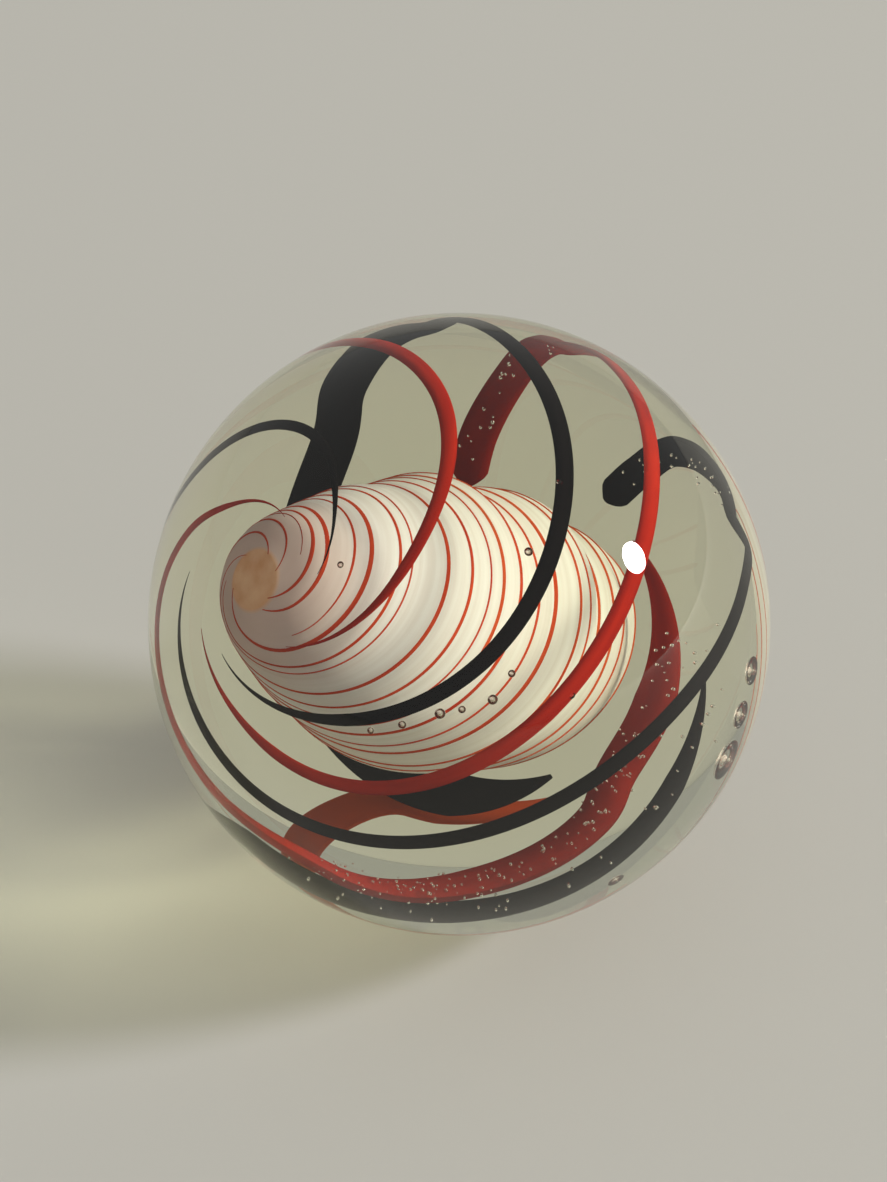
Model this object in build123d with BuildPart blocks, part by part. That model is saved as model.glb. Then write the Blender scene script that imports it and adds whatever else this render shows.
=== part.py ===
from build123d import *
from cmath import exp as complex_exp
from math import cos, degrees, exp, radians, sin, sqrt, tan
import os

# A handmade glass swirl marble. A clear ball holds a bent, twisted core of opaque white glass and six flat
# strands of black and red glass that spiral from the near pole to the far pole. On the near side they lie
# just under the surface, and on the far side, where the clear glass is thicker, they lie deep.
# The origin is the ball's centre and +Z is up as the marble lies.

# Clear ball
ball_diameter = 16.0
ball_radius = ball_diameter / 2

# The two poles, where the strands gather, as the angles round +Z from +X and above the level
near_pole_angles = (-143.5, 38.9)
far_pole_angles = (81.4, -38.5)

# Strands: a flat ribbon, at strand_depth under the ball's surface on the near side and deep_depth on the far
strand_width = 0.5
strand_thickness = 0.24
strand_depth = 0.24
deep_depth = 3.04
strand_sections = 34
# Turns of a strand round the poles, in radians for each step of travel
strand_lead = -2.15
# Travel along a strand, as shares below zero near the near pole and above zero near the far pole
strand_stop_shares = (-2.4, -1.9, -1.4, -0.9, -0.4, 0, 0.4, 0.8, 1.1, 1.4, 1.8, 2.2)
strand_width_shares = (0.22, 0.32, 0.56, 0.84, 1, 1, 1, 1, 1, 1, 0.9, 0.6)
strand_drop_shares = (1, 1, 1, 1, 1, 1, 1, 1, 1, 0.97, 0.85, 0.5)
# Travel at the two ends of each strand
strand_end_shares = {
    "black_strand_1": (-1.6, 1.85),
    "red_strand_1": (-1.7, 1.9),
    "black_strand_2": (-1.75, 1.65),
    "red_strand_2": (-1.95, 1.75),
    "black_strand_3": (-2.2, 1.45),
    "red_strand_3": (-2.4, 1.7),
}
# Travel where each strand leaves the surface and where it is deep, then its depth and width when deep
strand_dive_shares = {
    "black_strand_1": (-0.2, 0.6, 1, 0.8),
    "red_strand_1": (-0.5, 0.6, 1.01, 0.9),
    "black_strand_2": (-0.7, 0.45, 1, 1.15),
    "red_strand_2": (1.25, 1.5, 0.79, 0.65),
    "black_strand_3": (-0.1, 0.6, 0.96, 0.4),
    "red_strand_3": (-1.2, 0.3, 1.1, 1.2),
}
# Angle of each strand round the poles at each stop, apart from the turns of its lead
strand_angles = {
    "black_strand_1": (318, 318, 327, 330, 324, 341, 378, 414, 437, 469, 513, 550),
    "red_strand_1": (274, 274, 278, 292, 284, 301, 332, 366, 392, 418, 455, 490),
    "black_strand_2": (246, 246, 243, 249, 244, 265, 298, 320, 330, 268, 253, 253),
    "red_strand_2": (169, 167, 171, 187, 188, 215, 240, 262, 275, 283, 266, 260),
    "black_strand_3": (79, 77, 93, 86, 115, 147, 175, 182, 176, 174, 174, 174),
    "red_strand_3": (338, 341, 369, 395, 427, 460, 494, 525, 535, 552, 510, 480),
}

# Core: a rod along a bent line from beside the near pole, where it has a small flat end, to the far pole.
# Where it is widest, it fills core_fill_share of the space inside the deep strands.
core_fill_share = 15 / 31
core_radius = (ball_radius - deep_depth) * core_fill_share
core_end_angles = (-144.2, 35.8)
core_end_cover = 0.4
core_tip_cover = 0.5
# Where the rod's line is pulled aside between the poles, as shares of the ball's radius
core_bend_shares = (0.06, -0.09, -0.015)
core_sides = 16
core_sections = 24
core_stop_shares = (0, 0.03, 0.07, 0.2, 0.36, 0.5, 0.64, 0.8, 0.92, 1)
core_radius_shares = (0.3, 0.54, 0.7, 0.88, 1, 0.98, 0.87, 0.63, 0.38, 0.14)
# Twist of the core from end to end, and the quicker turn that the cutting gave its near end
core_twist = -850
core_end_twist = -60
core_end_twist_share = 0.06
# Two folds in the core, each a step down and a long rise, which fade out towards the near end
fold_angle = 142
fold_turn = 180
fold_step_share = 0.3
fold_height_share = 0.1
fold_start_shares = (0.3, 0.5)


def direction(angles):
    """Unit vector at an angle round +Z and an angle above the level."""
    turn, rise = radians(angles[0]), radians(angles[1])
    return Vector(cos(turn) * cos(rise), sin(turn) * cos(rise), sin(rise))


def between(stops, values, at):
    """Smooth curve through the values at the stops."""
    last = len(stops) - 1
    at = min(max(at, stops[0]), stops[last])
    i = max(n for n in range(last) if stops[n] <= at)

    def slope(n):
        low, high = max(n - 1, 0), min(n + 1, last)
        return (values[high] - values[low]) / (stops[high] - stops[low])

    step = stops[i + 1] - stops[i]
    t = (at - stops[i]) / step
    near = (2 * t**3 - 3 * t**2 + 1) * values[i] + (t**3 - 2 * t**2 + t) * step * slope(i)
    far = (3 * t**2 - 2 * t**3) * values[i + 1] + (t**3 - t**2) * step * slope(i + 1)
    return near + far


near_pole = direction(near_pole_angles)
far_pole = direction(far_pole_angles)
pole_middle = (near_pole + far_pole).normalized()
pole_across = (near_pole - pole_middle * near_pole.dot(pole_middle)).normalized()
pole_side = pole_across.cross(pole_middle)
pole_reach = tan(radians(near_pole.get_angle(pole_middle)) / 2)


def spiral_direction(travel, angle):
    """Direction of the point that lies this far along from pole to pole, at this angle round them."""
    w = complex_exp(complex(travel, radians(angle)))
    flat = pole_reach * (1 + w) / (1 - w)
    square = abs(flat) ** 2
    place = pole_across * (2 * flat.real) + pole_side * (2 * flat.imag) + pole_middle * (1 - square)
    return place * (1 / (1 + square))


def strand_dive(name, travel):
    """How far a strand has gone down from the surface to its depth on the far side."""
    leave, arrive = strand_dive_shares[name][:2]
    done = min(max((travel - leave) / (arrive - leave), 0), 1)
    return done**2 * (3 - 2 * done) * between(strand_stop_shares, strand_drop_shares, travel)


def strand_point(name, travel):
    """Point on a strand's middle line."""
    angle = between(strand_stop_shares, strand_angles[name], travel) + degrees(strand_lead * travel)
    drop = deep_depth * strand_dive_shares[name][2] - strand_depth
    depth = strand_depth + drop * strand_dive(name, travel)
    return spiral_direction(travel, angle) * (ball_radius - depth)


# The six drawn strands, each lofted through ribbon sections along its line
made_strands = {}
for name, (start, stop) in strand_end_shares.items():
    with BuildPart() as strand:
        for n in range(strand_sections + 1):
            travel = start + (stop - start) * n / strand_sections
            step = (stop - start) / strand_sections / 10
            here = strand_point(name, travel)
            ahead = strand_point(name, travel + step) - strand_point(name, travel - step)
            share = between(strand_stop_shares, strand_width_shares, travel)
            share = share * (1 + (strand_dive_shares[name][3] - 1) * strand_dive(name, travel))
            with BuildSketch(Plane(here, x_dir=ahead.cross(here), z_dir=ahead)):
                Rectangle(strand_width * share, strand_thickness * sqrt(share))
        loft(ruled=True)
    strand.part.label = name
    made_strands[name] = strand.part

# The core's middle line, one smooth bend between the poles
core_start = direction(core_end_angles) * (ball_radius - core_end_cover)
core_tip = far_pole * (ball_radius - core_tip_cover)
core_pull = Vector(core_bend_shares) * ball_radius
core_normal = (core_pull - core_start).cross(core_tip - core_start).normalized()


def core_line(share):
    """Point and heading of the core's middle line."""
    place = core_start * (1 - share) ** 2 + core_pull * (2 * share * (1 - share)) + core_tip * share**2
    heading = (core_pull - core_start) * (1 - share) + (core_tip - core_pull) * share
    return place, heading


def core_outline(share):
    """Corners of the core's section: a round with two folds that the twist carries round it."""
    size = core_radius * between(core_stop_shares, core_radius_shares, share)
    fold = fold_height_share * between((0, *fold_start_shares, 1), (0, 0, 1, 1), share)
    twist = core_twist * share + core_end_twist * (1 - exp(-share / core_end_twist_share))
    corners = []
    for n in range(core_sides):
        turn = 360 * n / core_sides
        past_share = (turn - fold_angle - twist) % fold_turn / fold_turn
        down = 1 - past_share / fold_step_share
        up = (past_share - fold_step_share) / (1 - fold_step_share)
        reach = size * (1 + fold * (max(down, up) - 1 / 2))
        corners.append((reach * cos(radians(turn)), reach * sin(radians(turn))))
    return corners


# The white core, lofted through its folded sections
with BuildPart() as white_core:
    for n in range(core_sections + 1):
        share = n / core_sections
        place, heading = core_line(share)
        with BuildSketch(Plane(place, x_dir=core_normal, z_dir=heading)):
            Polygon(*core_outline(share), align=None)
    loft(ruled=True)
white_core.part.label = "white_core"

# The clear ball, with a close-fitting hollow for the core and for each strand
with BuildPart() as clear_glass:
    Sphere(ball_radius)
    add(white_core.part, mode=Mode.SUBTRACT)
    for part in made_strands.values():
        add(part, mode=Mode.SUBTRACT)
clear_glass.part.label = "clear_glass"

os.makedirs("parts", exist_ok=True)
for part in (clear_glass.part, white_core.part, *made_strands.values()):
    export_step(part, f"parts/{part.label}.step")
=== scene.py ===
import math
import random
from cmath import exp as complex_exp
from collections import namedtuple

import bmesh
import bpy
from mathutils import Matrix, Vector


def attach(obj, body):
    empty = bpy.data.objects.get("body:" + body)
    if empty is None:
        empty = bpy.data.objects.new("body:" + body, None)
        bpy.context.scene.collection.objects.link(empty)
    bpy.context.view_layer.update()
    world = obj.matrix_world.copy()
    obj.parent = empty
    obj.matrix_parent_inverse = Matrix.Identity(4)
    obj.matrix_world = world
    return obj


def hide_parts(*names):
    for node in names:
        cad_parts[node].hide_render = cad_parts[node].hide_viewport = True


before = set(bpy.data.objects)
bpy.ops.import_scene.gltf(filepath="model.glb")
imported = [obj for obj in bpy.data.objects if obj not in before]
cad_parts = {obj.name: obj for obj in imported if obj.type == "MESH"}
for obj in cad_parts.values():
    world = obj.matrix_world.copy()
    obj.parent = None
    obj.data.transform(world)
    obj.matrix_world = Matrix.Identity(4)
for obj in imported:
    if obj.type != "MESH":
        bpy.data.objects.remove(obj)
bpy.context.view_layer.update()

# White core
# A rod of opaque white glass that the marble was built up on. It was twisted and folded on itself while hot,
# so its line bends and two low folds wind round it. Its blunt end shows beside the near pole.
mm = 0.001
ball_radius = 8.0 * mm


def direction(turn, rise):
    """Unit vector at an angle round +Z from +X and an angle above the level, in degrees."""
    turn, rise = math.radians(turn), math.radians(rise)
    return Vector((math.cos(turn) * math.cos(rise), math.sin(turn) * math.cos(rise), math.sin(rise)))


def between(stops, values, at):
    """Smooth curve through the values at the stops."""
    last = len(stops) - 1
    at = min(max(at, stops[0]), stops[last])
    i = max(n for n in range(last) if stops[n] <= at)

    def slope(n):
        low, high = max(n - 1, 0), min(n + 1, last)
        return (values[high] - values[low]) / (stops[high] - stops[low])

    step = stops[i + 1] - stops[i]
    t = (at - stops[i]) / step
    near = (2 * t**3 - 3 * t**2 + 1) * values[i] + (t**3 - 2 * t**2 + t) * step * slope(i)
    far = (3 * t**2 - 2 * t**3) * values[i + 1] + (t**3 - t**2) * step * slope(i + 1)
    return near + far


far_pole = direction(81.4, -38.5)
core_radius = 2.4 * mm
# Length along the bent line, and the clear glass over the two ends
core_length = 15.0 * mm
core_end_cover = 0.4 * mm
core_tip_cover = 0.5 * mm
core_start = direction(-144.2, 35.8) * (ball_radius - core_end_cover)
core_tip = far_pole * (ball_radius - core_tip_cover)
core_pull = Vector((0.06, -0.09, -0.015)) * ball_radius
core_normal = (core_pull - core_start).cross(core_tip - core_start).normalized()
# Shares of the radius, at shares of the length
core_stops = (0, 0.03, 0.07, 0.2, 0.36, 0.5, 0.64, 0.8, 0.92, 1)
core_sizes = (0.3, 0.54, 0.7, 0.88, 1, 0.98, 0.87, 0.63, 0.38, 0.14)
# Twist from end to end in degrees, and the quicker turn over a short share of the length at the blunt end
whole_twist = 850
end_twist = 60
end_twist_share = 0.06
# Two folds, each a short step down and a long rise, that set in between two shares of the length
fold_angle = math.radians(142)
fold_turn = math.pi
fold_step = 0.14
fold_height = 0.1
fold_start = 0.3
fold_full = 0.5


def core_twist(share):
    """Turn of the core at a share of its length: even, but quicker at the blunt end."""
    return -math.radians(whole_twist * share + end_twist * (1 - math.exp(-share / end_twist_share)))


def core_point(share, turn, lift=0.0):
    """Point of the core's surface, at a turn that twists with the glass."""
    place = core_start * (1 - share) ** 2 + core_pull * (2 * share * (1 - share)) + core_tip * share**2
    heading = ((core_pull - core_start) * (1 - share) + (core_tip - core_pull) * share).normalized()
    past = (turn - fold_angle) % fold_turn / fold_turn
    rise = max(1 - past / fold_step, (past - fold_step) / (1 - fold_step)) - 0.5
    fold = fold_height * between((0, fold_start, fold_full, 1), (0, 0, 1, 1), share)
    reach = core_radius * between(core_stops, core_sizes, share) * (1 + fold * rise) + lift
    angle = turn + core_twist(share)
    return place + (core_normal * math.cos(angle) + heading.cross(core_normal) * math.sin(angle)) * reach


weld_distance = 0.0001 * mm
sharp_angle = math.radians(50)


def drawn_rod(bm, sections, sides, place):
    """A closed rod: a flat grid wrapped round into a tube, with place(share, turn) for its points."""
    made = bmesh.ops.create_grid(bm, x_segments=sections, y_segments=sides, size=1.0, calc_uvs=True)["verts"]
    for vert in made:
        vert.co = place((vert.co.x + 1) / 2, (vert.co.y + 1) * math.pi)
    bmesh.ops.remove_doubles(bm, verts=made, dist=weld_distance)
    bmesh.ops.holes_fill(bm, edges=[edge for edge in bm.edges if edge.is_boundary], sides=0)
    bmesh.ops.recalc_face_normals(bm, faces=bm.faces)


def linear(hex_colour):
    """Linear colour of an sRGB hex value."""
    parts = [int(hex_colour[n:n + 2], 16) / 255 for n in (1, 3, 5)]
    return (*[p / 12.92 if p <= 0.04045 else ((p + 0.055) / 1.055) ** 2.4 for p in parts], 1.0)


def add_node(tree, kind, sockets, **settings):
    """Adds a node with its settings, and sets or links its sockets."""
    made = tree.nodes.new(kind)
    for name, value in settings.items():
        setattr(made, name, value)
    for name, value in sockets.items():
        if isinstance(value, bpy.types.NodeSocket):
            tree.links.new(value, made.inputs[name])
        else:
            made.inputs[name].default_value = value
    return made


def add_ramp(tree, factor, dark, bright):
    """Adds a ramp between two stops, each a place on the ramp and a colour, and returns its colour."""
    made = add_node(tree, "ShaderNodeValToRGB", {"Fac": factor})
    for n, (position, hex_colour) in enumerate((dark, bright)):
        made.color_ramp.elements[n].position = position
        made.color_ramp.elements[n].color = linear(hex_colour)
    return made.outputs["Color"]


def new_material(name):
    """An empty material and its node tree."""
    material = bpy.data.materials.new(name)
    material.use_nodes = True
    material.node_tree.nodes.clear()
    return material, material.node_tree


def finish_piece(name, bm, material, slot, *nodes):
    """Turns a bmesh into a piece of the object that stands for these CAD nodes."""
    mesh = bpy.data.meshes.new(name)
    bm.to_mesh(mesh)
    bm.free()
    mesh.materials.append(material)
    mesh.shade_smooth()
    mesh.set_sharp_from_angle(angle=sharp_angle)
    piece = bpy.data.objects.new(name, mesh)
    bpy.context.scene.collection.objects.link(piece)
    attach(piece, "root")
    if nodes:
        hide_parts(*nodes)


bm = bmesh.new()
bm.loops.layers.uv.new("along_and_round")
drawn_rod(bm, sections=260, sides=128, place=core_point)

# Opaque white glass: it scatters light inside, so it looks soft and milky. Streaks follow its twist. Towards
# the blunt end it is painted darker pink for shade there, and the cut end is painted peach for light shining
# through it.
milk_streak_length = 5.0 * mm
milk_streak_width = 0.58 * mm
cloud_size = 0.6 * mm
white_glass, tree = new_material("opaque_white_glass")
uv = add_node(tree, "ShaderNodeUVMap", {}, uv_map="along_and_round")
along = add_node(tree, "ShaderNodeSeparateXYZ", {"Vector": uv.outputs[0]})
stretch = add_node(tree, "ShaderNodeMapping", {
    "Vector": uv.outputs[0],
    "Scale": (core_length / milk_streak_length, 2 * math.pi * core_radius / milk_streak_width, 1.0)})
streaks = add_node(tree, "ShaderNodeTexNoise", {"Vector": stretch.outputs[0], "Scale": 1.0, "Detail": 3.0})
milk = add_ramp(tree, streaks.outputs["Fac"], (0.3, "#E6DEDD"), (0.65, "#F4F0F1"))
# Painted shade: the milk turns a darker pink towards the blunt end, for the warm shade on that end.
painted_end_shade = add_node(tree, "ShaderNodeMapRange", {
    "Value": along.outputs["X"], "From Min": 0.02, "From Max": 0.2, "To Min": 0.9, "To Max": 0.0})
milk_with_painted_shade = add_node(tree, "ShaderNodeMixRGB", {
    "Fac": painted_end_shade.outputs[0], "Color1": milk, "Color2": linear("#E0C3B8")})
coordinates = add_node(tree, "ShaderNodeTexCoord", {})
clouds = add_node(tree, "ShaderNodeTexNoise", {
    "Vector": coordinates.outputs["Object"], "Scale": 1 / cloud_size, "Detail": 4.0})
# Painted light: the cut end is painted peach for light shining through it from behind.
painted_backlight_peach = add_ramp(tree, clouds.outputs["Fac"], (0.3, "#E9A878"), (0.7, "#FBCBA0"))
cut_end = add_node(tree, "ShaderNodeMapRange", {
    "Value": along.outputs["X"], "From Min": 0.001, "From Max": 0.006, "To Min": 1.0, "To Max": 0.0})
ended = add_node(tree, "ShaderNodeMixRGB", {
    "Fac": cut_end.outputs[0], "Color1": milk_with_painted_shade.outputs[0], "Color2": painted_backlight_peach})
surface = add_node(tree, "ShaderNodeBsdfPrincipled", {
    "Base Color": ended.outputs[0], "Roughness": 0.6, "IOR": 1.5, "Specular IOR Level": 0.0})
add_node(tree, "ShaderNodeOutputMaterial", {"Surface": surface.outputs[0]})
finish_piece("white_twisted_core", bm, white_glass, "white_glass", "white_core")

# Red threads
# Fine threads of red glass that were laid along the white rod and wind round it with its twist. Each is a
# flat line melted into the white and drawn out thin at its ends.
# Place round the rod in degrees, width in mm, and the ends as shares of the rod's length
threads = (
    (110.4, 0.095, 0.0, 0.62),
    (142.4, 0.13, 0.005, 1.0),
    (199.4, 0.075, 0.05, 1.0),
    (232.4, 0.13, 0.0, 1.0),
    (285.4, 0.085, 0.02, 1.0),
    (307.4, 0.05, 0.0, 1.0),
    (10.0, 0.11, 0.0, 1.0),
    (53.4, 0.09, 0.0, 1.0),
    (87.4, 0.05, 0.03, 1.0),
)
thread_lift = 0.015 * mm
# Share of the full width at each end of a thread, and how fast it grows from there
thread_start = (0.15, 12)
thread_stop = (0.2, 6)
# Share of the rod's length over which its twist is measured
twist_step = 0.005


def drawn_taper(share, start, stop):
    """Share of the full width, where a piece was drawn out thin at its start and its stop."""
    return min(1, start[0] + start[1] * share, stop[0] + stop[1] * (1 - share))


bm = bmesh.new()
bm.loops.layers.uv.new("along_and_round")
for angle, width, first, last in threads:

    def thread_point(share, turn):
        """Point of a thread: a flat line, as wide across its run as the table says, on the core's surface."""
        at = first + (last - first) * share
        size = core_radius * between(core_stops, core_sizes, at)
        wind = size * (core_twist(at - twist_step) - core_twist(at + twist_step)) / (2 * twist_step)
        taper = drawn_taper(share, thread_start, thread_stop)
        half = width * mm / 2 * taper * math.hypot(1, wind / core_length)
        beside = half / size * math.cos(turn)
        return core_point(at, math.radians(angle) + beside, thread_lift * math.sin(turn))

    drawn_rod(bm, sections=300, sides=6, place=thread_point)

# Threads and strands are drawn out to about this length, with a few streaks round each
drawn_length = 40.0 * mm
streaks_round = 3.0


def coloured_glass(name, dark, bright, far, streak_length):
    """Opaque coloured glass with streaks that run along the piece, and another colour towards its far end,
    where the strands get painted shade and a painted glow.
    """
    material, tree = new_material(name)
    uv = add_node(tree, "ShaderNodeUVMap", {}, uv_map="along_and_round")
    along = add_node(tree, "ShaderNodeSeparateXYZ", {"Vector": uv.outputs[0]})
    stretch = add_node(tree, "ShaderNodeMapping", {
        "Vector": uv.outputs[0], "Scale": (drawn_length / streak_length, streaks_round, 1.0)})
    streaks = add_node(tree, "ShaderNodeTexNoise", {
        "Vector": stretch.outputs[0], "Scale": 1.0, "Detail": 3.0})
    colours = add_ramp(tree, streaks.outputs["Fac"], (0.32, dark), (0.68, bright))
    # Towards the far end: the threads' more orange tone, painted shade on the red and black strands, and a
    # painted orange glow on one red strand.
    far_tone_and_painted_light = add_node(tree, "ShaderNodeMapRange", {
        "Value": along.outputs["X"], "From Min": 0.45, "From Max": 0.75, "To Min": 0.0, "To Max": 0.75})
    shades = add_node(tree, "ShaderNodeMixRGB", {
        "Fac": far_tone_and_painted_light.outputs[0], "Color1": colours, "Color2": linear(far)})
    surface = add_node(tree, "ShaderNodeBsdfPrincipled", {
        "Base Color": shades.outputs[0], "Roughness": 0.5, "IOR": 1.5, "Specular IOR Level": 0.0})
    add_node(tree, "ShaderNodeOutputMaterial", {"Surface": surface.outputs[0]})
    return material


# Red thread glass, thin enough for the white to show through, so it looks orange.
thread_streak_length = 2.0 * mm
thread_glass = coloured_glass("red_thread_glass", "#B62E10", "#D24A1E", "#CE5826", thread_streak_length)
finish_piece("core_threads", bm, thread_glass, "red_glass")

# Black and red strands
# Six ribbons of opaque glass drawn out with the marble, three black and three red by turns. They gather in a
# swirl at the near pole, sweep round the ball just under its surface and dive deep into it on the far side.
near_pole = direction(-143.5, 38.9)
pole_middle = (near_pole + far_pole).normalized()
pole_across = (near_pole - pole_middle * near_pole.dot(pole_middle)).normalized()
pole_side = pole_across.cross(pole_middle)
pole_reach = math.tan(near_pole.angle(pole_middle) / 2)
strand_width = 0.5 * mm
strand_thickness = 0.24 * mm
strand_depth = 0.24 * mm
deep_depth = 3.04 * mm
# Turn of a strand round the poles, in radians for each step of travel
strand_lead = -2.15
# Travel along a strand runs from below zero near the near pole to above zero near the far pole
strand_stops = (-2.4, -1.9, -1.4, -0.9, -0.4, 0, 0.4, 0.8, 1.1, 1.4, 1.8, 2.2)
strand_widths = (0.22, 0.32, 0.56, 0.84, 1, 1, 1, 1, 1, 1, 0.9, 0.6)
strand_drops = (1, 1, 1, 1, 1, 1, 1, 1, 1, 0.97, 0.85, 0.5)
# Travel to each side over which the heading of a strand is measured
travel_step = 0.01
# Share of the full width at each end of a strand, and how fast it grows from there
strand_start = (0.1, 6)
strand_stop = (0.1, 16)
# Travel at the ends, travel where the dive starts and ends, depth and width when deep, angle at each stop
Strand = namedtuple("Strand", ("ends", "dive", "deep_share", "deep_width", "angles"))
strands = {
    "black_strand_1": Strand((-1.6, 1.85), (-0.2, 0.6), 1, 0.8,
                             (318, 318, 327, 330, 324, 341, 378, 414, 437, 469, 513, 550)),
    "red_strand_1": Strand((-1.7, 1.9), (-0.5, 0.6), 1.01, 0.9,
                           (274, 274, 278, 292, 284, 301, 332, 366, 392, 418, 455, 490)),
    "black_strand_2": Strand((-1.75, 1.65), (-0.7, 0.45), 1, 1.15,
                             (246, 246, 243, 249, 244, 265, 298, 320, 330, 268, 253, 253)),
    "red_strand_2": Strand((-1.95, 1.75), (1.25, 1.5), 0.79, 0.65,
                           (169, 167, 171, 187, 188, 215, 240, 262, 275, 283, 266, 260)),
    "black_strand_3": Strand((-2.2, 1.45), (-0.1, 0.6), 0.96, 0.4,
                             (79, 77, 93, 86, 115, 147, 175, 182, 176, 174, 174, 174)),
    "red_strand_3": Strand((-2.4, 1.7), (-1.2, 0.3), 1.1, 1.2,
                           (338, 341, 369, 395, 427, 460, 494, 525, 535, 552, 510, 480)),
}


def strand_dive(strand, travel):
    """How far a strand has gone down from the surface to its depth on the far side."""
    leave, arrive = strand.dive
    done = min(max((travel - leave) / (arrive - leave), 0), 1)
    return done**2 * (3 - 2 * done) * between(strand_stops, strand_drops, travel)


def strand_line(strand, travel):
    """Point on a strand's middle line."""
    angle = math.radians(between(strand_stops, strand.angles, travel)) + strand_lead * travel
    w = complex_exp(complex(travel, angle))
    flat = pole_reach * (1 + w) / (1 - w)
    square = abs(flat) ** 2
    place = pole_across * (2 * flat.real) + pole_side * (2 * flat.imag) + pole_middle * (1 - square)
    drop = deep_depth * strand.deep_share - strand_depth
    return place / (1 + square) * (ball_radius - strand_depth - drop * strand_dive(strand, travel))


# Black glass takes nearly all the light. Towards the far pole red glass, and black a little, is painted
# darker for shade there, and the far end of one red strand, drawn thin there, is painted orange for light
# shining through red glass.
strand_streak_length = 3.0 * mm
black_glass = coloured_glass("opaque_black_glass", "#080605", "#15100E", "#0A0807", strand_streak_length)
red_glass = coloured_glass("opaque_red_glass", "#9C1609", "#C82C12", "#75170F", strand_streak_length)
# Its orange far colour is a painted glow of light shining through thin red glass.
red_glass_painted_glow = coloured_glass("red_glass_painted_glow", "#9C1609", "#C82C12", "#C9531C", strand_streak_length)
strand_glasses = {"black": black_glass, "red": red_glass}
for name, strand in strands.items():
    start, stop = strand.ends

    def strand_point(share, turn):
        """Point of a strand: a flat oval round its middle line, drawn to a point at its ends."""
        travel = start + (stop - start) * share
        here = strand_line(strand, travel)
        ahead = strand_line(strand, travel + travel_step) - strand_line(strand, travel - travel_step)
        deep_size = 1 + (strand.deep_width - 1) * strand_dive(strand, travel)
        size = between(strand_stops, strand_widths, travel) * deep_size
        taper = drawn_taper(share, strand_start, strand_stop)
        wide = ahead.cross(here).normalized()
        thick = wide.cross(ahead).normalized()
        return here + (wide * (strand_width * size * taper / 2 * math.cos(turn))
                       + thick * (strand_thickness * math.sqrt(size) * taper / 2 * math.sin(turn)))

    bm = bmesh.new()
    bm.loops.layers.uv.new("along_and_round")
    drawn_rod(bm, sections=320, sides=12, place=strand_point)
    colour = name.split("_")[0]
    strand_glass = red_glass_painted_glow if name == "red_strand_2" else strand_glasses[colour]
    finish_piece(f"{name}_ribbon", bm, strand_glass, f"{colour}_glass", name)

# Clear ball
# The body of the marble: one gather of clear soda-lime glass, drawn round the core and the strands, cut from
# its cane and rolled round while hot. Iron in the sand gives it a faint olive tint, and air is caught in it.
view_rise = math.radians(40)


def seen_at(across, up, depth_share):
    """Point of the near half of the ball, from its place across and up the view in ball radii."""
    towards = math.sqrt(1 - across**2 - up**2)
    place = Vector((
        across,
        up * math.sin(view_rise) - towards * math.cos(view_rise),
        up * math.cos(view_rise) + towards * math.sin(view_rise),
    ))
    return place * ball_radius * depth_share


# Bubbles: place across and up the view, then distance from the centre and radius, all in ball radii
bubbles = (
    (0.943, -0.150, 0.940, 0.045),
    (0.908, -0.292, 0.940, 0.045),
    (0.866, -0.440, 0.920, 0.066),
    (0.503, -0.822, 0.955, 0.028),
    (0.218, 0.228, 0.972, 0.014),
    (-0.373, 0.187, 0.975, 0.011),
    (0.317, 0.447, 0.975, 0.011),
    (0.165, -0.155, 0.972, 0.012),
    (0.352, -0.222, 0.972, 0.014),
    (-0.286, -0.343, 0.935, 0.011),
    (-0.184, -0.324, 0.935, 0.013),
    (-0.062, -0.288, 0.935, 0.017),
    (0.009, -0.275, 0.935, 0.012),
    (0.108, -0.243, 0.935, 0.016),
)
# Seeds: fine air that was trapped over the deep parts of these strands, and how many each holds
seeded_strands = {"red_strand_3": 190, "black_strand_3": 40, "black_strand_1": 40, "red_strand_1": 30}
seeded_end = 1.55
seeds = random.Random(4)
seed_gap = 0.33 * mm
seed_spread = 0.1 * mm
# Smallest and largest radius of a seed in mm
seed_sizes = (0.012, 0.028)
# The way to the viewer, and how far the light leans outwards on its way there inside the ball
view_heading = Vector((0, -math.cos(view_rise), math.sin(view_rise)))
sight_lean = 0.35
# Faces nearer the centre than this are walls of bubbles and seeds
wall_reach = 0.995 * ball_radius

bm = bmesh.new()
bmesh.ops.create_icosphere(bm, subdivisions=7, radius=ball_radius)
for across, up, depth_share, size in bubbles:
    place = Matrix.Translation(seen_at(across, up, depth_share))
    bmesh.ops.create_icosphere(bm, subdivisions=3, radius=size * ball_radius, matrix=place)
for name, count in seeded_strands.items():
    deep_start = strands[name].dive[1]
    for n in range(count):
        here = strand_line(strands[name], seeds.uniform(deep_start, seeded_end))
        beside = here - view_heading * here.dot(view_heading)
        sight = (view_heading + beside.normalized() * sight_lean).normalized()
        shift = Vector((seeds.gauss(0, 1), seeds.gauss(0, 1), seeds.gauss(0, 1))) * seed_spread
        size = seeds.uniform(*seed_sizes) * mm
        place = here + sight * seed_gap + shift - sight * shift.dot(sight)
        bmesh.ops.create_icosphere(bm, subdivisions=1, radius=size, matrix=Matrix.Translation(place))
walls = [face for face in bm.faces if face.calc_center_median().length < wall_reach]
bmesh.ops.reverse_faces(bm, faces=walls)

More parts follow.
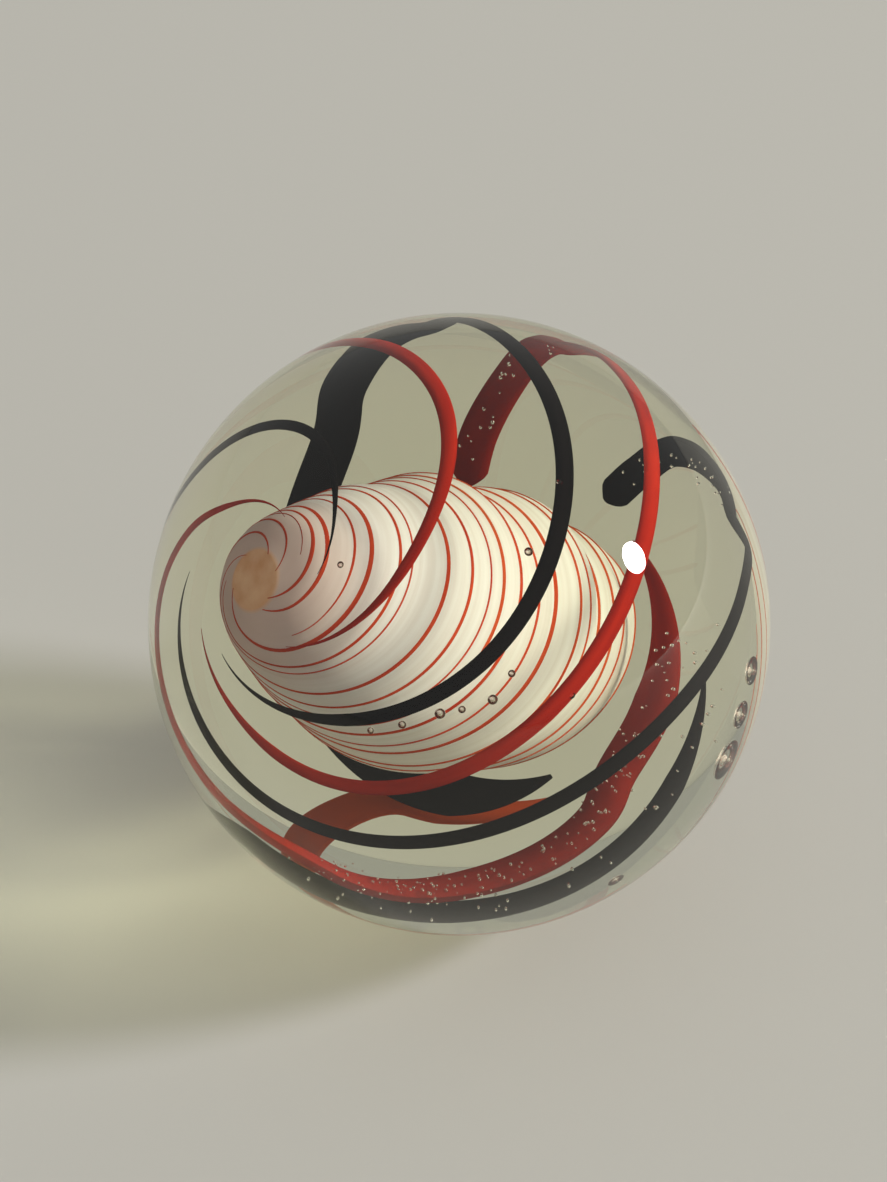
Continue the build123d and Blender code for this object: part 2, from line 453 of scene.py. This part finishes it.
# Soda-lime glass, fire polished: clear to the eye, with a tint that deepens with the thickness of the glass.
# Lamps shine straight through it, because light that the ball bends can't be traced back to a lamp.
clear_glass, tree = new_material("soda_lime_glass")
glass = add_node(tree, "ShaderNodeBsdfPrincipled", {
    "Base Color": linear("#FFFFFF"), "Roughness": 0.0, "IOR": 1.54, "Transmission Weight": 1.0})
lamp_light = add_node(tree, "ShaderNodeBsdfTransparent", {"Color": linear("#D8D8CE")})
ray = add_node(tree, "ShaderNodeLightPath", {})
shown = add_node(tree, "ShaderNodeMixShader", {
    0: ray.outputs["Is Shadow Ray"], 1: glass.outputs[0], 2: lamp_light.outputs[0]})
tint = add_node(tree, "ShaderNodeVolumeAbsorption", {"Color": linear("#E9EAC2"), "Density": 65.0})
add_node(tree, "ShaderNodeOutputMaterial", {"Surface": shown.outputs[0], "Volume": tint.outputs[0]})
finish_piece("clear_ball", bm, clear_glass, "clear_glass", "clear_glass")

# Floor, light and camera
# A plain pale floor that the ball lies on, a soft lamp from the right and even light all round.
floor_radius = 1.5
floor_material, tree = new_material("pale_floor")
surface = add_node(tree, "ShaderNodeBsdfPrincipled", {"Base Color": linear("#D2D0C8"), "Roughness": 0.8})
add_node(tree, "ShaderNodeOutputMaterial", {"Surface": surface.outputs[0]})
under_ball = Matrix.Translation((0, 0, -ball_radius))
bm = bmesh.new()
bmesh.ops.create_circle(bm, cap_ends=True, segments=96, radius=floor_radius, matrix=under_ball)
mesh = bpy.data.meshes.new("floor")
bm.to_mesh(mesh)
bm.free()
mesh.materials.append(floor_material)
floor = bpy.data.objects.new("floor", mesh)
bpy.context.scene.collection.objects.link(floor)

lamp_heading = Vector((0.889, -0.017, 0.456)).normalized()
lamp_distance = 0.9
lamp_data = bpy.data.lights.new("key_lamp", "AREA")
lamp_data.shape = "DISK"
lamp_data.size = 0.15
lamp_data.energy = 7.0
lamp_data.color = linear("#FFFDFA")[:3]
lamp = bpy.data.objects.new("key_lamp", lamp_data)
lamp.location = lamp_heading * lamp_distance
lamp.rotation_mode = "QUATERNION"
lamp.rotation_quaternion = lamp_heading.to_track_quat("Z", "Y")
bpy.context.scene.collection.objects.link(lamp)

world = bpy.data.worlds.new("even_light")
world.use_nodes = True
background = world.node_tree.nodes["Background"]
background.inputs["Color"].default_value = linear("#F2F2EE")
background.inputs["Strength"].default_value = 0.4
bpy.context.scene.world = world

# The view: from the front and above, as the photograph was taken, with the ball a little right of and below
# the middle. Height, focal length and the ball's place are in pixels of the photograph.
view_distance = 24 * ball_radius
frame_height = 1182
focal_length = 7470
ball_right = 15.7
ball_below = 33.2
sensor_width = 36.0
camera_data = bpy.data.cameras.new("camera")
camera_data.sensor_width = sensor_width
camera_data.lens = sensor_width * focal_length / frame_height
camera_data.shift_x = -ball_right / frame_height
camera_data.shift_y = ball_below / frame_height
camera_data.clip_start = 0.01
camera = bpy.data.objects.new("camera", camera_data)
camera.location = view_heading * view_distance
camera.rotation_mode = "QUATERNION"
camera.rotation_quaternion = view_heading.to_track_quat("Z", "Y")
bpy.context.scene.collection.objects.link(camera)
bpy.context.scene.camera = camera
bpy.context.scene.view_settings.view_transform = "Standard"
